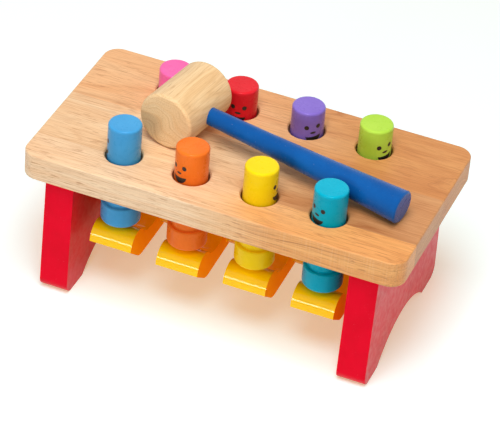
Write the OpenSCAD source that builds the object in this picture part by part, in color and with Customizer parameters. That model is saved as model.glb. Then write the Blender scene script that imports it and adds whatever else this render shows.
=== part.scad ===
// Peg pounding bench: a board on two legs, eight pegs in pairs on four rockers, and a mallet.
// Pounding the front peg of a pair raises the back one, and the other way round.
// The bench stands on z = 0, X runs along the board and -Y is the front.

/* [Board] */
// Length of the top board
board_l = 240; // [220:5:300]
// Depth of the top board, front to back
board_w = 129; // [126:1:150]
// Thickness of the top board
board_t = 17; // [15:1:20]
// Radius of the board's corners, seen from above
board_corner_r = 10; // [5:1:14]
// Radius of the board's eased edges
board_edge_r = 1; // [0.5:0.5:3]
// Height of the board's top face above the table
bench_h = 97; // [94:1:115]

/* [Legs] */
// Thickness of each leg
leg_t = 18; // [15:1:20]
// Distance from the board's front edge back to the leg's front edge, under the board
leg_inset = 6.5; // [5:0.1:10]
// The same distance at the foot, where the leg is wider
foot_inset = 1.7; // [1:0.1:4]
// Radius of the foot's outer corners
foot_corner_r = 7; // [3:1:10]
// Width of the arch between the front and the back foot
arch_w = 80; // [60:1:88]
// Height of the arch
arch_h = 15; // [10:1:18]

/* [Pegs] */
// Diameter of a peg's shank
peg_d = 20.2; // [18:0.2:21]
// Distance between neighbouring pegs of one row
peg_pitch = 43.3; // [42:0.1:46]
// Distance between the front row and the back row
row_gap = 75.4; // [73:0.2:77]
// How far a peg shows above the board when its rocker is level
peg_show = 19.4; // [18.4:0.2:24]
// Radius at the rim of a peg's top
peg_top_r = 1.6; // [0.8:0.2:2.4]
// Clearance between a peg and its hole, on the radius
hole_play = 1.2; // [0.8:0.1:1.4]
// Bevel at the rim of each hole
hole_bevel = 0.8; // [0.4:0.1:1.2]
// How far the collar reaches past the rim of the hole, on the radius
collar_lip = 0.9; // [0.5:0.1:1]
// Height of the collar's upper edge above the peg's lower end
collar_h = 17; // [15:0.5:18.5]
// Radius of the collar's upper edge
collar_edge_r = 1; // [0.6:0.2:2]
// Height at which the collar starts to turn in, above the peg's lower end
foot_h = 5.6; // [4.4:0.2:7]
// Radius of that turn
foot_r = 2.4; // [1:0.2:3.4]
// Diameter of the flat end that rides on the nose
foot_d = 11; // [9:0.5:13]

/* [Rockers] */
// Width of a rocker along the board
rocker_w = 27; // [24:1:32]
// Wall of the moulded rocker
rocker_wall = 2.2; // [1.6:0.1:2.6]
// Radius of the rolled nose that carries a peg
nose_r = 10; // [9:0.2:10.4]
// Distance of the nose's centre outside the peg's centre
nose_lead = 3.8; // [3:0.2:4.6]
// Depth of the nose's centre below the axle
nose_drop = 1.5; // [0.5:0.1:2]
// Height of the arm's lowest place above the axle
arm_rise = 1; // [1:0.1:1.6]
// Radius of the hollow sweeps from the arm up to the nose and up to the boss
sweep_r = 14; // [8:1:16]
// Radius of the boss round the axle
boss_r = 9.5; // [8.5:0.1:10]
// Depth of the front plate's lower edge below the nose's centre
lip_drop = 0.5; // [0.3:0.1:2]
// Depth of the side walls below the axle at their lowest corner
belly_drop = 12.6; // [11.5:0.1:14]
// Distance of that corner inside the nose's centre
belly_lead = 5; // [2:0.5:8]
// Radius of that corner
belly_r = 12; // [6:1:14]
// Outer diameter of the hub tube
hub_d = 15; // [12:0.5:16]
// Thickness of the ribs inside
rib_t = 1.8; // [1.4:0.1:2.4]
// Distance between the cross ribs
rib_gap = 15; // [14:0.5:17]
// Gap between neighbouring hubs
hub_gap = 0.3; // [0.2:0.1:0.8]

/* [Axle] */
// Diameter of the axle rod
axle_d = 6; // [5:0.5:8]
// Depth of the axle's centre below the board's top face
axle_drop = 61.5; // [60.5:0.5:64]
// Depth of the axle's hole in each leg
axle_seat = 10; // [6:1:12]
// Clearance round the axle, on the radius
axle_fit = 0.1; // [0.05:0.01:0.15]
// Side play between the outer hubs and the legs
side_play = 0.7; // [0.4:0.1:0.9]
// Bevel at the axle's ends
axle_bevel = 0.6; // [0.3:0.1:1]

/* [Dowels] */
// Diameter of the dowels between board and leg
dowel_d = 8; // [6:1:10]
// Depth of a dowel's hole in the board
dowel_in_board = 12; // [8:1:13]
// Depth of a dowel's hole in the leg
dowel_in_leg = 18; // [12:1:24]
// Distance between the two dowels of one leg
dowel_gap = 76; // [40:1:96]
// Clearance round a dowel, on the radius and at its ends
dowel_fit = 0.1; // [0.05:0.01:0.15]
// Bevel at a dowel's ends
dowel_bevel = 1; // [0.5:0.1:1.5]

/* [Mallet] */
// Diameter of the mallet's head
head_d = 36; // [32:1:38]
// Length of the mallet's head
head_l = 46; // [40:1:48]
// Radius of the head's edges
head_edge_r = 2; // [1:0.5:4]
// Distance from the head's centre line to the handle's free end
handle_l = 150; // [130:1:152]
// Diameter of the handle at its free end
handle_end_d = 20.5; // [17:0.5:20.5]
// Diameter of the handle where it enters the head
handle_neck_d = 11; // [9:0.5:14]
// How far the handle's side is hollowed at half its length
handle_hollow = 0.7; // [0.3:0.1:1.2]
// Radius of the handle's end edge
handle_edge_r = 1.5; // [0.5:0.5:3]
// How far the handle reaches past the head's centre line
tenon_past = 8; // [4:1:12]
// Clearance round the handle in the head, on the radius
tenon_fit = 0.1; // [0.05:0.01:0.15]

/* [Stored pose] */
// Height of the first column's front peg above its level place
rise_1 = 2.95; // [-4:0.05:4]
// Height of the second column's front peg above its level place
rise_2 = 1; // [-4:0.05:4]
// Height of the third column's front peg above its level place
rise_3 = 2.05; // [-4:0.05:4]
// Height of the fourth column's front peg above its level place
rise_4 = 0.85; // [-4:0.05:4]
// Gap between a rocker's nose and the peg that it carries
seat_gap = 0.3; // [0.2:0.05:0.4]
// Gap between the mallet and the board that it lies on
mallet_gap = 0.3; // [0.2:0.05:0.4]
// Place of the mallet's head along the board
mallet_x = -43; // [-45:1:-41]
// Place of the mallet's head across the board
mallet_y = 2; // [1:0.5:3]
// Turn of the mallet seen from above, in degrees
mallet_turn = -10.2; // [-10.4:0.1:-6]

/* [Hidden] */
$fn = 72;

// Overrun that lets a cut pass its face
over = 1;
front = -1;
back = 1;

board_under = bench_h - board_t;
hole_d = peg_d + 2 * hole_play;
collar_d = hole_d + 2 * collar_lip;
axle_z = bench_h - axle_drop;

// Height that a peg gains for each radian that its rocker turns. The share is a little under the
// arc's own, so that the straight lift and the round one stay together to both ends of the travel.
lift_share = 0.9735;
nose_reach = row_gap / 2 + nose_lead;
lift_rate = nose_reach * lift_share;
degrees_per_radian = 180 / PI;
front_rises = [rise_1, rise_2, rise_3, rise_4];

nose_top = axle_z - nose_drop + nose_r;
peg_l = bench_h + peg_show - nose_top - seat_gap;
nose_front = nose_reach + nose_r;
// Where a sweep's circle touches the arm's top and the nose, and where it touches the boss
sweep_z = arm_rise + sweep_r;
nose_sweep_y = nose_reach - sqrt(pow(nose_r + sweep_r, 2) - pow(sweep_z + nose_drop, 2));
boss_sweep_y = sqrt(pow(boss_r + sweep_r, 2) - pow(sweep_z, 2));

hub_l = peg_pitch - hub_gap;
leg_x = 2 * peg_pitch + side_play;
leg_top_y = board_w / 2 - leg_inset;
foot_y = board_w / 2 - foot_inset;
arch_r = (arch_h * arch_h + arch_w * arch_w / 4) / (2 * arch_h);
dowel_x = leg_x + leg_t / 2;

// Number of steps in the handle's curved side
handle_steps = 8;

handle_drop = asin((head_d - handle_end_d) / (2 * handle_l));

wood = "#dcb183";
head_wood = "#e6c79c";
leg_red = "#d3122f";
rocker_yellow = "#ffc70a";
steel = "#b8bcc0";
handle_blue = "#1557a8";

function column_x(col) = (col - 1.5) * peg_pitch;
function rocker_turn(col) = -front_rises[col] / lift_rate * degrees_per_radian;
function peg_rise(col, side) = -side * front_rises[col];

// Flat shapes
module soft_rect(w, h, r) {
    square([w - 2 * r, h], center = true);
    square([w, h - 2 * r], center = true);
    for (x = [-1, 1], y = [-1, 1])
        translate([x * (w / 2 - r), y * (h / 2 - r)])
            circle(r);
}

module right_half(w, h) {
    intersection() {
        children();
        translate([0, -h])
            square([w, 2 * h]);
    }
}

// A shape drawn in Y and Z, made into a plate that is centred on x = 0
module plate_x(t) {
    rotate([90, 0, 90])
        linear_extrude(t, center = true)
            children();
}

module rod_x(d, l) {
    rotate([0, 90, 0])
        cylinder(d = d, h = l, center = true);
}

module beveled_rod(d, l, bevel) {
    cylinder(d1 = d - 2 * bevel, d2 = d, h = bevel);
    translate([0, 0, bevel])
        cylinder(d = d, h = l - 2 * bevel);
    translate([0, 0, l - bevel])
        cylinder(d1 = d, d2 = d - 2 * bevel, h = bevel);
}

// Top board
module board_slab() {
    plate_x(board_l - 2 * board_corner_r)
        soft_rect(board_w, board_t, board_edge_r);
    rotate([90, 0, 0])
        linear_extrude(board_w - 2 * board_corner_r, center = true)
            soft_rect(board_l, board_t, board_edge_r);
    for (x = [-1, 1], y = [-1, 1])
        translate([x * (board_l / 2 - board_corner_r), y * (board_w / 2 - board_corner_r), 0])
            rotate_extrude()
                right_half(board_corner_r, board_t)
                    soft_rect(2 * board_corner_r, board_t, board_edge_r);
}

module peg_hole() {
    translate([0, 0, -over])
        cylinder(d = hole_d, h = board_t + 2 * over);
    translate([0, 0, board_t - hole_bevel])
        cylinder(d1 = hole_d, d2 = hole_d + 2 * hole_bevel, h = hole_bevel);
    cylinder(d1 = hole_d + 2 * hole_bevel, d2 = hole_d, h = hole_bevel);
}

module at_dowels(side) {
    for (place = [-1, 1])
        translate([side * dowel_x, place * dowel_gap / 2, board_under])
            children();
}

module dowel_holes(side) {
    at_dowels(side)
        translate([0, 0, -dowel_in_leg])
            cylinder(d = dowel_d + 2 * dowel_fit, h = dowel_in_leg + dowel_in_board);
}

module bench_top() {
    color(wood)
        difference() {
            translate([0, 0, board_under + board_t / 2])
                board_slab();
            for (col = [0:3], side = [front, back])
                translate([column_x(col), side * row_gap / 2, board_under])
                    peg_hole();
            for (side = [-1, 1])
                dowel_holes(side);
        }
}

// Legs
module leg_outline() {
    lean = atan((foot_y - leg_top_y) / board_under);
    corner_y = foot_y - foot_corner_r * tan(lean) - foot_corner_r / cos(lean);
    touch_y = corner_y + foot_corner_r * cos(lean);
    touch_z = foot_corner_r + foot_corner_r * sin(lean);
    difference() {
        union() {
            polygon([
                [-corner_y, 0], [corner_y, 0], [touch_y, touch_z],
                [leg_top_y, board_under], [-leg_top_y, board_under], [-touch_y, touch_z]
            ]);
            for (side = [-1, 1])
                translate([side * corner_y, foot_corner_r])
                    circle(foot_corner_r);
        }
        translate([0, arch_h - arch_r])
            circle(arch_r, $fn = 180);
    }
}

module leg(side) {
    color(leg_red)
        difference() {
            translate([side * (leg_x + leg_t / 2), 0, 0])
                plate_x(leg_t)
                    leg_outline();
            translate([0, 0, axle_z])
                rod_x(axle_d + 2 * axle_fit, 2 * (leg_x + axle_seat));
            dowel_holes(side);
        }
}

module leg_dowels(side) {
    color(wood)
        at_dowels(side)
            translate([0, 0, dowel_fit - dowel_in_leg])
                beveled_rod(dowel_d, dowel_in_leg + dowel_in_board - 2 * dowel_fit, dowel_bevel);
}

// Rockers
module rocker_axle() {
    half = leg_x + axle_seat - axle_fit;
    color(steel)
        translate([-half, 0, axle_z])
            rotate([0, 90, 0])
                beveled_rod(axle_d, 2 * half, axle_bevel);
}

// One half of the rocker's side view above the nose's centre, smaller all round by inset
module arm_and_nose(inset) {
    intersection() {
        translate([0, -nose_drop])
            square([nose_front, sweep_z + nose_drop]);
        union() {
            difference() {
                polygon([
                    [0, -nose_drop], [0, 0], [boss_sweep_y, sweep_z], [nose_sweep_y, sweep_z],
                    [nose_reach, -nose_drop]
                ]);
                translate([boss_sweep_y, arm_rise - inset])
                    square([nose_sweep_y - boss_sweep_y, sweep_z]);
                for (y = [boss_sweep_y, nose_sweep_y])
                    translate([y, sweep_z])
                        circle(sweep_r + inset);
            }
            circle(boss_r - inset);
            translate([nose_reach, -nose_drop])
                circle(nose_r - inset);
        }
    }
}

// One half of the side wall, whose lower edge turns a round corner on its way up to the lip
module side_wall_half() {
    lip_z = -nose_drop - lip_drop;
    corner_y = nose_reach - belly_lead;
    inner = atan((belly_drop - boss_r) / corner_y);
    outer = atan((belly_drop + lip_z) / (nose_front - corner_y));
    touch = belly_r * tan((inner + outer) / 2);
    touch_y = corner_y - touch * cos(inner);
    touch_z = touch * sin(inner) - belly_drop;
    arm_and_nose(0);
    polygon([
        [0, -nose_drop], [nose_front, -nose_drop], [nose_front, lip_z],
        [corner_y + touch * cos(outer), touch * sin(outer) - belly_drop],
        [touch_y, touch_z], [0, -boss_r]
    ]);
    intersection() {
        translate([touch_y + belly_r * sin(inner), touch_z + belly_r * cos(inner)])
            circle(belly_r);
        translate([0, -belly_drop])
            square([nose_front, belly_drop - nose_drop]);
    }
}

// What the mould leaves empty under one half of the arm
module hollow_half() {
    arm_and_nose(rocker_wall);
    translate([0, -belly_drop - over])
        square([nose_front - rocker_wall, belly_drop + over - nose_drop]);
}

module both_halves() {
    children();
    mirror([1, 0])
        children();
}

module cross_ribs() {
    for (place = [-2 : 2])
        translate([place * rib_gap - rib_t / 2, -boss_r])
            square([rib_t, boss_r + nose_r]);
}

module rocker(col) {
    pocket_w = (rocker_w - rib_t) / 2 - rocker_wall;
    color(rocker_yellow)
        translate([column_x(col), 0, axle_z])
            rotate([rocker_turn(col), 0, 0])
                difference() {
                    union() {
                        plate_x(rocker_w)
                            both_halves()
                                side_wall_half();
                        rod_x(hub_d, hub_l);
                    }
                    for (side = [-1, 1])
                        translate([side * (rib_t + pocket_w) / 2, 0, 0])
                            plate_x(pocket_w)
                                difference() {
                                    both_halves()
                                        hollow_half();
                                    cross_ribs();
                                    circle(boss_r);
                                }
                    plate_x(rib_t)
                        translate([-nose_front, -belly_drop - over])
                            square([2 * nose_front, over + belly_drop - boss_r]);
                    rod_x(axle_d + 2 * axle_fit, hub_l + 2 * over);
                }
}

// Pegs
// The collar's section, right of the peg's centre line; its foot narrows to the flat end
module collar_outline() {
    turn_x = collar_d / 2 - foot_r;
    edge_x = collar_d / 2 - collar_edge_r;
    run = turn_x - foot_d / 2;
    slope = atan2(foot_h, run) - asin(foot_r / sqrt(run * run + foot_h * foot_h));
    polygon([
        [-foot_d / 2, 0], [foot_d / 2, 0],
        [turn_x + foot_r * sin(slope), foot_h - foot_r * cos(slope)],
        [collar_d / 2, foot_h], [collar_d / 2, collar_h - collar_edge_r],
        [edge_x, collar_h], [-foot_d / 2, collar_h]
    ]);
    translate([turn_x, foot_h])
        circle(foot_r);
    translate([edge_x, collar_h - collar_edge_r])
        circle(collar_edge_r);
}

module peg_outline() {
    translate([0, (foot_h + peg_l) / 2])
        soft_rect(peg_d, peg_l - foot_h, peg_top_r);
    collar_outline();
}

module peg(col, side, paint) {
    color(paint)
        translate([column_x(col), side * row_gap / 2, nose_top + seat_gap + peg_rise(col, side)])
            rotate_extrude()
                right_half(collar_d, peg_l)
                    peg_outline();
}

// Mallet, drawn with its head on Y and its handle on +X
module lay_mallet() {
    translate([mallet_x, mallet_y, bench_h + mallet_gap + head_d / 2])
        rotate([0, handle_drop, mallet_turn])
            children();
}

module mallet_head() {
    color(head_wood)
        lay_mallet()
            difference() {
                rotate([90, 0, 0])
                    rotate_extrude()
                        right_half(head_d, head_l)
                            soft_rect(head_d, head_l, head_edge_r);
                translate([-tenon_past, 0, 0])
                    rotate([0, 90, 0])
                        cylinder(d = handle_neck_d + 2 * tenon_fit, h = head_d);
            }
}

// The handle's half section, with its centre line on the Y axis and its free end up
module handle_outline() {
    neck_r = handle_neck_d / 2;
    flare = handle_end_d / 2 - neck_r;
    length = handle_l - head_d / 2;
    side = [
        for (step = [0 : handle_steps])
            let (share = step / handle_steps)
                [
                    neck_r + flare * share - handle_hollow * share * (1 - share) * 4,
                    head_d / 2 + length * share
                ]
    ];
    intersection() {
        polygon(concat(
            [[0, handle_l], [0, tenon_fit - tenon_past], [neck_r, tenon_fit - tenon_past]], side
        ));
        soft_rect(handle_end_d, 2 * handle_l, handle_edge_r);
    }
}

module mallet_handle() {
    color(handle_blue)
        lay_mallet()
            rotate([0, 90, 0])
                rotate_extrude()
                    handle_outline();
}

bench_top();
leg(-1);  // leg_left
leg(1);  // leg_right
leg_dowels(-1);  // leg_dowels_left
leg_dowels(1);  // leg_dowels_right
rocker_axle();
rocker(0);  // rocker_1
rocker(1);  // rocker_2
rocker(2);  // rocker_3
rocker(3);  // rocker_4
peg(0, front, "#4fa3d9");  // peg_blue
peg(1, front, "#f58233");  // peg_orange
peg(2, front, "#fcd416");  // peg_yellow
peg(3, front, "#08b2d0");  // peg_teal
peg(0, back, "#f56fb2");  // peg_pink
peg(1, back, "#e8323a");  // peg_red
peg(2, back, "#8d75cc");  // peg_purple
peg(3, back, "#b4e055");  // peg_green
mallet_head();
mallet_handle();
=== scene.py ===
import math

import bpy
from mathutils import Matrix, Vector


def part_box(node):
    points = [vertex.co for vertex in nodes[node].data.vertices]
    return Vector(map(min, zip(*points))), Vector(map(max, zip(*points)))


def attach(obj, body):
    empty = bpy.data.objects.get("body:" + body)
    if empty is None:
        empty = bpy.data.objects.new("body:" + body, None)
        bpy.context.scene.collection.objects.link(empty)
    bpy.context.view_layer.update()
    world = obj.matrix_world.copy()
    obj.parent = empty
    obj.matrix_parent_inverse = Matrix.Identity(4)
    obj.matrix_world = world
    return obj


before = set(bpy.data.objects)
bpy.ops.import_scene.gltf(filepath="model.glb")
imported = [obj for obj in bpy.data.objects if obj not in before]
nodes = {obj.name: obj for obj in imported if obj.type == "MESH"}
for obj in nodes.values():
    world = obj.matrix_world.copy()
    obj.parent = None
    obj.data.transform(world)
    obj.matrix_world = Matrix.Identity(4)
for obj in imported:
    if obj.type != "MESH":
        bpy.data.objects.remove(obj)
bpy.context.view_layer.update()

MM = 0.001


# ---- shader helpers ----
class Tree:
    """A material's node tree, with short calls for the nodes that the finishes share.

    A keyword names an input socket, with _ for a space, or gives its number after an i.
    """

    def __init__(self, name, **sockets):
        self.mat = bpy.data.materials.new(name)
        self.mat.use_nodes = True
        self.t = self.mat.node_tree
        self.bsdf = self.t.nodes["Principled BSDF"]
        for key, value in sockets.items():
            self.bsdf.inputs[key.replace("_", " ")].default_value = value

    def put(self, socket, value):
        if isinstance(value, bpy.types.NodeSocket):
            self.t.links.new(value, socket)
        else:
            socket.default_value = value

    def node(self, kind, out=0, props=None, **inputs):
        n = self.t.nodes.new(kind)
        for key, value in (props or {}).items():
            setattr(n, key, value)
        for key, value in inputs.items():
            self.put(n.inputs[int(key[1:])] if key[1:].isdigit() else n.inputs[key.replace("_", " ")], value)
        return n.outputs[out]

    def math(self, op, a, b=0.0):
        return self.node("ShaderNodeMath", props={"operation": op}, i0=a, i1=b)

    def vec(self, op, a, b):
        return self.node("ShaderNodeVectorMath", props={"operation": op}, i0=a, i1=b)

    def place(self):
        """The point on the object in millimetres, which stays with it in every pose."""
        coord = self.node("ShaderNodeTexCoord", out=3)
        return self.vec("MULTIPLY", coord, (1 / MM, 1 / MM, 1 / MM))

    def turned(self, point, rotation, centre):
        moved = self.vec("SUBTRACT", point, centre)
        return self.node("ShaderNodeMapping", props={"vector_type": "POINT"}, Vector=moved, Rotation=rotation)

    def split(self, v):
        n = self.t.nodes.new("ShaderNodeSeparateXYZ")
        self.put(n.inputs[0], v)
        return n.outputs[0], n.outputs[1], n.outputs[2]

    def join(self, x, y, z):
        return self.node("ShaderNodeCombineXYZ", i0=x, i1=y, i2=z)

    def noise(self, v, scale=1.0, detail=2.0, rough=0.5):
        return self.node("ShaderNodeTexNoise", Vector=v, Scale=scale, Detail=detail, Roughness=rough)

    def ramp(self, value, low, high, to_low=0.0, to_high=1.0):
        """A smooth step from to_low at low to to_high at high, where high may be the lesser number."""
        props = {"clamp": True, "interpolation_type": "SMOOTHSTEP"}
        return self.node("ShaderNodeMapRange", props=props, i0=value, i1=low, i2=high, i3=to_low, i4=to_high)

    def mix(self, factor, a, b, blend="MIX"):
        props = {"data_type": "RGBA", "blend_type": blend, "clamp_factor": True}
        return self.node("ShaderNodeMix", out=2, props=props, i0=factor, i6=a, i7=b)

    def bump(self, height, strength, distance):
        return self.node("ShaderNodeBump", Height=height, Strength=strength, Distance=distance)

    def local_normal(self):
        return self.split(self.node("ShaderNodeTexCoord", out=1))

    def set(self, **sockets):
        for key, value in sockets.items():
            self.put(self.bsdf.inputs[key.replace("_", " ")], value)
        return self.mat


def srgb(r, g, b):
    """A colour written in 0 to 255 as the linear one that sockets take."""
    return tuple(((c / 255 + 0.055) / 1.055) ** 2.4 if c > 10 else c / 255 / 12.92 for c in (r, g, b)) + (1.0,)


# ---- finishes ----
def bare_wood(name, pale, warm, dark, rotation=(0, 0, 0), centre=(0, 0, 0), pith=(10, -95), strips=(), fade=None,
              contrast=1.0):
    """Lacquered hardwood with its grain along local X: growth rings round a far pith, streaks, fibres and pores.

    strips: for each glued strip, the y where it begins, how far its pattern is moved, and its tint at the pale end
    and at the brown end. fade: the x where the brown end begins and is full, and its two colours.
    """
    t = Tree(name, IOR=1.48, Specular_IOR_Level=0.3, Coat_Weight=0.06, Coat_Roughness=0.25)
    p = t.turned(t.place(), rotation, centre)
    x, y, z = t.split(p)
    # Glued strips: each has its own piece of the tree
    band = 0.0
    for edge, shift, _, _ in strips:
        band = t.math("ADD", band, t.math("MULTIPLY", t.math("GREATER_THAN", y, edge), shift))
    drift_at = t.join(t.math("MULTIPLY", x, 0.005), t.math("MULTIPLY", y, 0.03), t.math("MULTIPLY", z, 0.03))
    drift = t.math("MULTIPLY", t.math("SUBTRACT", t.noise(drift_at, 1.0, 2.0), 0.5), 34.0)
    drift = t.math("ADD", drift, t.math("MULTIPLY", band, 23.0))
    ry = t.math("SUBTRACT", y, pith[0])
    rz = t.math("SUBTRACT", z, pith[1])
    radius = t.math("SQRT", t.math("ADD", t.math("MULTIPLY", ry, ry), t.math("MULTIPLY", rz, rz)))
    ring_at = t.math("ADD", radius, drift)
    rings = t.noise(t.join(ring_at, t.math("MULTIPLY", x, 0.003), band), 0.30, 3.0, 0.65)
    ring_line = t.ramp(t.noise(t.join(ring_at, t.math("MULTIPLY", x, 0.007), 4.0), 0.62, 2.0, 0.5), 0.56, 0.72)
    # Long streaks, fine fibres and the short dark dashes of open pores
    streak_at = t.join(t.math("MULTIPLY", x, 0.010), t.math("MULTIPLY", ring_at, 0.75), band)
    streak = t.ramp(t.noise(streak_at, 1.0, 4.0, 0.65), 0.52, 0.74)
    fibre_at = t.join(t.math("MULTIPLY", x, 0.04), t.math("MULTIPLY", y, 1.6), t.math("MULTIPLY", z, 1.6))
    fibre = t.noise(fibre_at, 1.0, 4.0, 0.65)
    pore_at = t.join(t.math("MULTIPLY", x, 0.13), t.math("MULTIPLY", y, 1.5), t.math("MULTIPLY", z, 1.5))
    pore = t.ramp(t.noise(pore_at, 1.0, 1.0, 0.4), 0.60, 0.70)
    where = t.ramp(t.noise(t.vec("MULTIPLY", p, (0.02, 0.06, 0.06)), 1.0, 2.0), 0.42, 0.62)
    pore = t.math("MULTIPLY", pore, t.math("ADD", 0.35, t.math("MULTIPLY", where, 0.65)))
    cloud = t.noise(t.join(t.math("MULTIPLY", x, 0.010), t.math("MULTIPLY", y, 0.035), band), 1.0, 3.0)
    tone = t.ramp(t.math("ADD", t.math("MULTIPLY", rings, 0.7), t.math("MULTIPLY", cloud, 0.4)), 0.38, 0.74)
    colour = t.mix(tone, pale, warm)
    depth = 0.3
    if fade is not None:
        # The board grows browner toward one end, and its streaks darker
        low, high, brown = fade
        toward = t.ramp(t.math("ADD", x, t.math("MULTIPLY", t.math("SUBTRACT", cloud, 0.5), 90.0)), low, high)
        colour = t.mix(t.math("MULTIPLY", toward, 0.85), colour, t.mix(tone, brown[0], brown[1]))
        depth = t.math("ADD", 0.22, t.math("MULTIPLY", toward, 0.56))
        tint = (1.0, 1.0, 1.0, 1.0)
        for edge, _, near, far in strips:
            tint = t.mix(t.math("GREATER_THAN", y, edge), tint, t.mix(toward, near + (1.0,), far + (1.0,)))
        colour = t.mix(1.0, colour, tint, "MULTIPLY")
    colour = t.mix(t.math("MULTIPLY", streak, depth), colour, dark)
    colour = t.mix(t.math("MULTIPLY", ring_line, 0.30 * contrast), colour, dark)
    hair_at = t.join(t.math("MULTIPLY", x, 0.012), t.math("MULTIPLY", ring_at, 0.5), t.math("MULTIPLY", y, 0.9))
    hair = t.ramp(t.noise(hair_at, 1.6, 3.0, 0.7), 0.55, 0.70)
    colour = t.mix(t.math("MULTIPLY", hair, t.math("MULTIPLY", depth, 0.8)), colour, dark)
    colour = t.mix(t.ramp(fibre, 0.42, 0.74, 0.0, 0.40 * contrast), colour, dark)
    colour = t.mix(t.math("MULTIPLY", pore, 0.52 * contrast), colour, dark)
    grain = t.math("SUBTRACT", t.math("MULTIPLY", fibre, 0.5), t.math("MULTIPLY", pore, 0.6))
    normal = t.bump(grain, 0.35, 0.00012)
    return t, colour, fibre, p, normal


def sawn(t, colour, fibre, p, normal):
    """The board's upright faces keep faint upright marks of the saw and are darkened as painted shade, and its ends
    show the fibres' own tips.
    """
    nx, _, nz = t.split(t.node("ShaderNodeNewGeometry", out=1))
    x, y, z = t.split(p)
    upright = t.ramp(t.math("ABSOLUTE", nz), 0.9, 0.4, 0.0, 1.0)
    end = t.ramp(t.math("ABSOLUTE", nx), 0.55, 0.9)
    # Painted shade: upright faces are darkened and cooled against the top, the ends hardly at all
    painted_upright_shade = t.math("MULTIPLY", upright, t.math("SUBTRACT", 0.6, t.math("MULTIPLY", end, 0.55)))
    colour = t.mix(painted_upright_shade, colour, t.mix(1.0, colour, (0.80, 0.92, 1.04, 1.0), "MULTIPLY"))
    marks_at = t.join(t.math("MULTIPLY", x, 1.7), t.math("MULTIPLY", y, 1.7), t.math("MULTIPLY", z, 0.05))
    marks = t.ramp(t.noise(marks_at, 1.0, 2.0, 0.6), 0.46, 0.72)
    tips = t.ramp(t.noise(t.vec("MULTIPLY", p, (0.3, 2.6, 2.6)), 1.0, 2.0, 0.6), 0.5, 0.72)
    colour = t.mix(t.math("MULTIPLY", t.math("MULTIPLY", marks, upright), 0.09), colour, srgb(248, 224, 186))
    colour = t.mix(t.math("MULTIPLY", t.math("MULTIPLY", tips, end), 0.30), colour, srgb(196, 140, 96))
    return t.set(Base_Color=colour, Roughness=t.ramp(fibre, 0.3, 0.7, 0.38, 0.52), Normal=normal)


def plain_wood(t, colour, fibre, p, normal):
    return t.set(Base_Color=colour, Roughness=t.ramp(fibre, 0.3, 0.7, 0.40, 0.54), Normal=normal)


def paint(name, colour, deep, grain=(0.6, 0.6, 0.06), rough=0.3, coat=0.1, level=0.35, painted_side_shade=1.0):
    """Opaque lacquer over wood: the grain shows through as a faint relief, and the film pools a little.

    painted_side_shade: how much of its brightness an upright face keeps, beside a level one; the darker upright faces
    are painted shade.
    """
    t = Tree(name, IOR=1.5, Specular_IOR_Level=level, Specular_Tint=colour, Coat_Weight=coat, Coat_Roughness=0.12)
    p = t.place()
    fibre = t.noise(t.vec("MULTIPLY", p, tuple(g * 2.4 for g in grain)), 1.0, 3.0, 0.6)
    cloud = t.noise(p, 0.05, 3.0, 0.55)
    specks = t.ramp(t.noise(p, 1.1, 2.0, 0.5), 0.70, 0.80)
    peel = t.noise(p, 0.9, 2.0, 0.5)
    base = t.mix(t.ramp(cloud, 0.35, 0.7, 0.0, 0.5), colour, deep)
    base = t.mix(t.ramp(fibre, 0.35, 0.75, 0.0, 0.14), base, deep)
    base = t.mix(t.math("MULTIPLY", specks, 0.10), base, (1.0, 1.0, 1.0, 1.0))
    # Painted shade: an upright face is darkened against a level one
    if painted_side_shade < 1.0:
        nz = t.local_normal()[2]
        upright = t.ramp(t.math("ABSOLUTE", nz), 0.9, 0.5)
        base = t.mix(upright, base, t.mix(1.0, base, (painted_side_shade, painted_side_shade, painted_side_shade, 1.0), "MULTIPLY"))
    height = t.math("ADD", t.math("MULTIPLY", fibre, 0.5), t.math("MULTIPLY", peel, 0.8))
    rough_map = t.ramp(t.noise(p, 0.25, 3.0, 0.6), 0.3, 0.7, rough - 0.06, rough + 0.08)
    return t.set(Base_Color=base, Roughness=rough_map, Normal=t.bump(height, 0.2, 0.0001))


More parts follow.
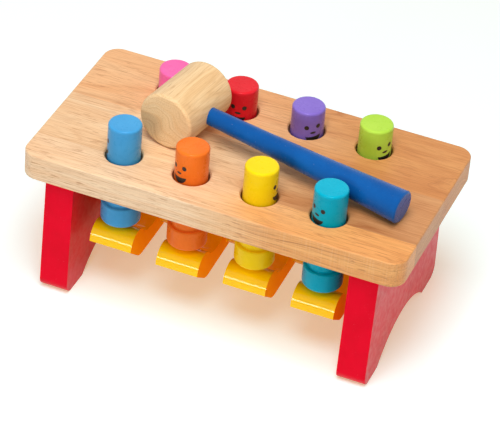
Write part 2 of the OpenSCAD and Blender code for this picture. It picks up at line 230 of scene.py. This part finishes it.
def moulded(name, colour, deep, glow):
    """Moulded plastic: polished rolls and dull side walls. Painted shade tints the side walls, the undersides and the
    arm tops orange, and a faint emission on the thin walls and the arms between the noses is a painted glow for the
    light that comes through them."""
    t = Tree(name, IOR=1.5, Specular_IOR_Level=0.1, Specular_Tint=colour, Coat_Roughness=0.04, Coat_IOR=1.35,
             Emission_Color=(1.0, 0.26, 0.0, 1.0))
    p = t.place()
    cloud = t.noise(p, 0.06, 2.0, 0.5)
    wave = t.noise(p, 0.05, 1.0, 0.4)
    fine = t.noise(p, 3.0, 2.0, 0.5)
    nx, _, nz = t.local_normal()
    y = t.split(p)[1]
    wall = t.ramp(t.math("ABSOLUTE", nx), 0.5, 0.95)
    below = t.ramp(nz, -0.2, -0.9)
    arm = t.math("MULTIPLY", t.ramp(t.math("ABSOLUTE", y), 36.0, 28.0), t.ramp(nz, 0.2, 0.7))
    base = t.mix(t.ramp(cloud, 0.35, 0.7, 0.0, 0.4), colour, deep)
    # Painted shade: the side walls, the undersides and the arm tops are tinted toward the orange shade colour
    painted_shade_redder = t.math("MAXIMUM", t.math("MULTIPLY", below, 0.4), t.math("MULTIPLY", arm, 0.6))
    base = t.mix(t.math("MAXIMUM", t.math("MULTIPLY", wall, 0.9), painted_shade_redder), base, glow)
    height = t.math("ADD", wave, t.math("MULTIPLY", fine, 0.03))
    rough_map = t.math("ADD", t.ramp(t.noise(p, 0.4, 3.0, 0.6), 0.3, 0.7, 0.24, 0.34), t.math("MULTIPLY", wall, 0.5))
    gloss = t.math("SUBTRACT", 0.9, t.math("MULTIPLY", wall, 0.9))
    # Painted glow: a faint emission on the side walls and the arm tops
    through = t.math("MAXIMUM", t.math("MULTIPLY", wall, 0.15), t.math("MULTIPLY", arm, 0.22))
    return t.set(Base_Color=base, Roughness=rough_map, Coat_Weight=gloss, Normal=t.bump(height, 0.1, 0.0001),
                 Emission_Strength=through)


def steel(name):
    t = Tree(name, Metallic=1.0)
    p = t.place()
    lines = t.noise(t.vec("MULTIPLY", p, (6.0, 0.6, 0.6)), 1.0, 3.0, 0.6)
    base = t.mix(lines, srgb(168, 171, 175), srgb(205, 207, 210))
    return t.set(Base_Color=base, Roughness=t.ramp(lines, 0.3, 0.7, 0.24, 0.4), Normal=t.bump(lines, 0.2, 0.00005))


def ink(name):
    t = Tree(name, IOR=1.5)
    spots = t.noise(t.place(), 1.6, 3.0, 0.6)
    base = t.mix(t.ramp(spots, 0.45, 0.75), srgb(14, 13, 15), srgb(38, 33, 34))
    return t.set(Base_Color=base, Roughness=t.ramp(spots, 0.3, 0.7, 0.3, 0.5))


def dress(node, material):
    mesh = nodes[node].data
    mesh.materials.clear()
    mesh.materials.append(material)
    for face in mesh.polygons:
        face.material_index = 0


BOARD_STRIPS = (
    (-900.0, 0.0, (1.03, 1.16, 1.36), (1.16, 1.08, 0.88)),
    (-41.0, 1.0, (1.03, 1.18, 1.36), (0.86, 0.82, 0.84)),
    (7.0, 1.7, (1.02, 0.98, 0.96), (0.96, 0.87, 0.76)),
)
BOARD_FADE = (-30.0, 70.0, (srgb(228, 166, 104), srgb(208, 140, 82)))
dress("bench_top", sawn(*bare_wood(
    "board_wood", srgb(246, 200, 150), srgb(236, 178, 124), srgb(168, 100, 52), strips=BOARD_STRIPS, fade=BOARD_FADE)))
for side in ("leg_left", "leg_right"):
    dress(side, paint(side + "_red", srgb(224, 0, 38), srgb(206, 0, 30), rough=0.34, coat=0.04, level=0.25))
dowel_wood = plain_wood(*bare_wood(
    "dowel_wood", srgb(236, 204, 160), srgb(222, 184, 134), srgb(170, 120, 74), rotation=(0, math.pi / 2, 0)))
for side in ("leg_dowels_left", "leg_dowels_right"):
    dress(side, dowel_wood)
dress("rocker_axle", steel("axle_steel"))
# The last colour is the orange of the painted shade on the walls, undersides and arm tops
rocker_plastic = moulded("rocker_yellow", srgb(255, 203, 0), srgb(255, 190, 0), srgb(255, 152, 0))
for k in range(1, 5):
    dress(f"rocker_{k}", rocker_plastic)

# Each peg's paint where it is thin and where it pools, and how much of its brightness the side keeps as painted shade
PEGS = {
    "peg_blue": (srgb(76, 166, 222), srgb(60, 148, 208), 0.88),
    "peg_orange": (srgb(248, 124, 40), srgb(234, 102, 22), 0.88),
    "peg_yellow": (srgb(255, 220, 18), srgb(250, 206, 2), 0.86),
    "peg_teal": (srgb(0, 180, 208), srgb(0, 158, 188), 0.84),
    "peg_pink": (srgb(252, 112, 180), srgb(240, 92, 164), 0.94),
    "peg_red": (srgb(232, 36, 48), srgb(212, 20, 34), 0.88),
    "peg_purple": (srgb(140, 116, 208), srgb(122, 94, 192), 0.88),
    "peg_green": (srgb(186, 226, 80), srgb(164, 212, 52), 0.98),
}
for name, (colour, deep, painted_side_shade) in PEGS.items():
    dress(name, paint(
        name + "_paint", colour, deep, grain=(0.7, 0.7, 0.07), rough=0.3, coat=0.12, level=0.25, painted_side_shade=painted_side_shade))


# ---- printed faces ----
PRINT_RADIUS = 10.15  # mm, 0.05 mm proud of the peg
PRINT_MIDDLE = 14.0  # mm below the peg's top, the point that a tilted print turns about
# Where each face looks, in degrees from the front toward the right end, then how many degrees its print is
# tilted and how many millimetres it sits too high
FACES = {
    "peg_blue": (-70, 0, 0.0), "peg_orange": (-24, 4, 0.3), "peg_yellow": (96, 0, 0.0), "peg_teal": (-26, -4, 0.0),
    "peg_pink": (150, 0, 0.0), "peg_red": (12, -3, 0.5), "peg_purple": (40, 8, 1.6), "peg_green": (56, 8, 0.2),
}
# Millimetres across from the middle of the face and down from the peg's top, then half the width and the height
EYE = (3.65, 11.1, 1.45, 1.5)
NOSE = (0.0, 15.0, 1.8, 0.75)
MOUTH = (17.9, 4.9, 3.8)
LIP_SAG = 0.35  # mm that the upper lip's corners stand above its middle
CORNER = 0.05  # mm of height that the mouth keeps at its corners
OVAL_RINGS, OVAL_POINTS = 5, 28
PINHOLE = 0.02  # share of an oval's size that its innermost ring has
SMILE_ROWS, SMILE_POINTS = 8, 33


def print_on(name, turn, tilt, lift):
    """A function that puts a point of the flat print on the side of its peg."""
    lo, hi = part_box(name)
    centre = ((lo.x + hi.x) / 2, (lo.y + hi.y) / 2)
    tilt = math.radians(tilt)

    def at(across, down):
        below = down - PRINT_MIDDLE
        a = math.radians(turn) + (across * math.cos(tilt) + below * math.sin(tilt)) / PRINT_RADIUS
        drop = PRINT_MIDDLE - lift + below * math.cos(tilt) - across * math.sin(tilt)
        return (centre[0] + PRINT_RADIUS * MM * math.sin(a), centre[1] - PRINT_RADIUS * MM * math.cos(a),
                hi.z - drop * MM)

    return at


def grid(verts, faces, rows, close):
    """Adds rows of points as a sheet of quads, closed round when close is true."""
    base = len(verts)
    for row in rows:
        verts.extend(row)
    wide = len(rows[0])
    for i in range(len(rows) - 1):
        for j in range(wide if close else wide - 1):
            a, b = base + i * wide + j, base + i * wide + (j + 1) % wide
            faces.append((a, b, b + wide, a + wide))


def oval(at, across, down, half_w, half_h):
    """Rings of points, from a pinhole in the middle out to the oval's edge."""
    rows = []
    angles = [2 * math.pi * j / OVAL_POINTS for j in range(OVAL_POINTS)]
    for k in range(OVAL_RINGS):
        share = PINHOLE + (1 - PINHOLE) * k / (OVAL_RINGS - 1)
        rows.append([at(across + half_w * share * math.cos(a), down + half_h * share * math.sin(a)) for a in angles])
    return rows


def smile(at, down, half_w, depth):
    """An open laughing mouth: a half-moon whose flat upper lip sags a little and ends in sharp corners."""
    rows = []
    for k in range(SMILE_ROWS):
        row = []
        for j in range(SMILE_POINTS):
            u = 2 * j / (SMILE_POINTS - 1) - 1
            upper = down - LIP_SAG * u * u
            lower = upper + depth * math.sqrt(max(0.0, 1 - u * u)) + CORNER
            row.append(at(half_w * u, upper + (lower - upper) * k / (SMILE_ROWS - 1)))
        rows.append(row)
    return rows


ink_mat = ink("face_ink")
for name, (turn, tilt, lift) in FACES.items():
    at = print_on(name, turn, tilt, lift)
    verts, faces = [], []
    for side in (-1, 1):
        grid(verts, faces, oval(at, side * EYE[0], *EYE[1:]), True)
    grid(verts, faces, oval(at, *NOSE), True)
    grid(verts, faces, smile(at, *MOUTH), False)
    mesh = bpy.data.meshes.new(name + "_face")
    mesh.from_pydata(verts, [], faces)
    mesh.update()
    mesh.materials.append(ink_mat)
    for face in mesh.polygons:
        face.use_smooth = True
    piece = bpy.data.objects.new(name + "_face", mesh)
    bpy.context.scene.collection.objects.link(piece)
    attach(piece, name)

# ---- mallet ----
MALLET_TURN = math.radians(10.2)  # as it lies on the board, so that the grain runs along the head
lo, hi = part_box("mallet_head")
head_centre = tuple((lo[i] + hi[i]) / 2 / MM for i in range(3))
dress("mallet_head", plain_wood(*bare_wood(
    "head_wood", srgb(246, 214, 166), srgb(234, 192, 138), srgb(178, 122, 72),
    rotation=(0, 0, MALLET_TURN - math.pi / 2), centre=head_centre, pith=(6, -30), contrast=0.8,
)))
dress("mallet_handle", paint(
    "handle_blue", srgb(14, 90, 164), srgb(8, 72, 142), grain=(0.06, 0.6, 0.6), rough=0.28, coat=0.16, level=0.3))


# ---- floor ----
def floor_material():
    """Pale paper. The camera, a mirror or glass sees it white, with a warm cast where the light is kept off it."""
    t = Tree("floor_pale", Roughness=0.9, Specular_IOR_Level=0.0)
    speck = t.noise(t.place(), 0.03, 3.0, 0.5)
    path = t.t.nodes.new("ShaderNodeLightPath").outputs
    seen = t.math("MAXIMUM", path["Is Camera Ray"], path["Is Glossy Ray"])
    seen = t.math("MAXIMUM", seen, path["Is Transmission Ray"])
    body = t.mix(speck, srgb(238, 236, 233), srgb(240, 238, 236))
    colour = t.mix(seen, body, (0.5, 0.85, 1.0, 1.0))
    glow = t.math("MULTIPLY", seen, 0.56)
    return t.set(Base_Color=colour, Emission_Color=(1.0, 0.6, 0.33, 1.0), Emission_Strength=glow)


FLOOR_HALF = 12.0  # m
mesh = bpy.data.meshes.new("floor")
corners = [(x * FLOOR_HALF, y * FLOOR_HALF, 0) for x, y in ((-1, -1), (1, -1), (1, 1), (-1, 1))]
mesh.from_pydata(corners, [], [(0, 1, 2, 3)])
mesh.materials.append(floor_material())
floor = bpy.data.objects.new("floor", mesh)
bpy.context.scene.collection.objects.link(floor)

# ---- light ----
WORLD_LIGHT = 0.30  # strength of the world on the object; the camera, a mirror or glass sees 1, which is white
world = bpy.context.scene.world or bpy.data.worlds.new("world")
bpy.context.scene.world = world
world.use_nodes = True
wt = world.node_tree
bg = wt.nodes["Background"]
bg.inputs["Color"].default_value = (1, 1, 1, 1)
path = wt.nodes.new("ShaderNodeLightPath")
seen = path.outputs["Is Camera Ray"]
for kind in ("Is Glossy Ray", "Is Transmission Ray"):
    most = wt.nodes.new("ShaderNodeMath")
    most.operation = "MAXIMUM"
    wt.links.new(seen, most.inputs[0])
    wt.links.new(path.outputs[kind], most.inputs[1])
    seen = most.outputs[0]
level = wt.nodes.new("ShaderNodeMapRange")
level.inputs["To Min"].default_value = WORLD_LIGHT
level.inputs["To Max"].default_value = 1.0
wt.links.new(seen, level.inputs["Value"])
wt.links.new(level.outputs[0], bg.inputs["Strength"])


def direction(azimuth, elevation):
    """The direction to a place so many degrees round from the front to the right, and so many above the floor."""
    a, e = math.radians(azimuth), math.radians(elevation)
    return Vector((math.sin(a) * math.cos(e), -math.cos(a) * math.cos(e), math.sin(e)))


LAMP_AIM = Vector((0, 0, 0.05))  # m, the middle of the object


def lamp(name, azimuth, elevation, distance, size, watts, colour=(1, 1, 1)):
    """A soft box that looks at the object; the distance and the size are in metres."""
    back = direction(azimuth, elevation)
    light = bpy.data.lights.new(name, "AREA")
    light.shape = "RECTANGLE"
    light.size, light.size_y = size
    light.energy = watts
    light.color = colour
    o = bpy.data.objects.new(name, light)
    o.location = back * distance + LAMP_AIM
    o.rotation_mode = "QUATERNION"
    o.rotation_quaternion = (-back).to_track_quat("-Z", "Y")
    bpy.context.scene.collection.objects.link(o)


lamp("top", 12, 70, 1.2, (0.5, 0.8), 11.4, (1.0, 0.985, 0.96))
lamp("right", 95, 28, 1.4, (0.9, 0.7), 2.4)
lamp("front", 4, 15, 1.3, (1.4, 0.16), 0.5)
# The streak along the rockers' noses is this lamp's reflection
lamp("glint", -16, 15, 1.3, (0.36, 0.2), 3.4)


# ---- camera ----
# Fitted to the corners and edges of the object in the photograph
CAMERA_AT = (0.4536, -1.2845, 1.0634)  # m
CAMERA_FROM = (19.303, 36.698)  # azimuth and elevation, degrees
CAMERA_ROLL = math.radians(-5.007)
FOCAL_PIXELS, IMAGE_WIDTH = 2816.684, 500
SENSOR_WIDTH = 36.0  # mm


def camera():
    back = direction(*CAMERA_FROM)
    level_right = (-back).cross(Vector((0, 0, 1))).normalized()
    level_down = (-back).cross(level_right)
    right = math.cos(CAMERA_ROLL) * level_right + math.sin(CAMERA_ROLL) * level_down
    down = -math.sin(CAMERA_ROLL) * level_right + math.cos(CAMERA_ROLL) * level_down
    data = bpy.data.cameras.new("camera")
    data.sensor_fit = "HORIZONTAL"
    data.sensor_width = SENSOR_WIDTH
    data.lens = FOCAL_PIXELS / IMAGE_WIDTH * SENSOR_WIDTH
    data.clip_start, data.clip_end = 0.05, 50.0
    cam = bpy.data.objects.new("camera", data)
    m = Matrix((right, -down, back)).transposed().to_4x4()
    m.translation = Vector(CAMERA_AT)
    cam.matrix_world = m
    bpy.context.scene.collection.objects.link(cam)
    bpy.context.scene.camera = cam


camera()
bpy.context.scene.view_settings.view_transform = "Standard"
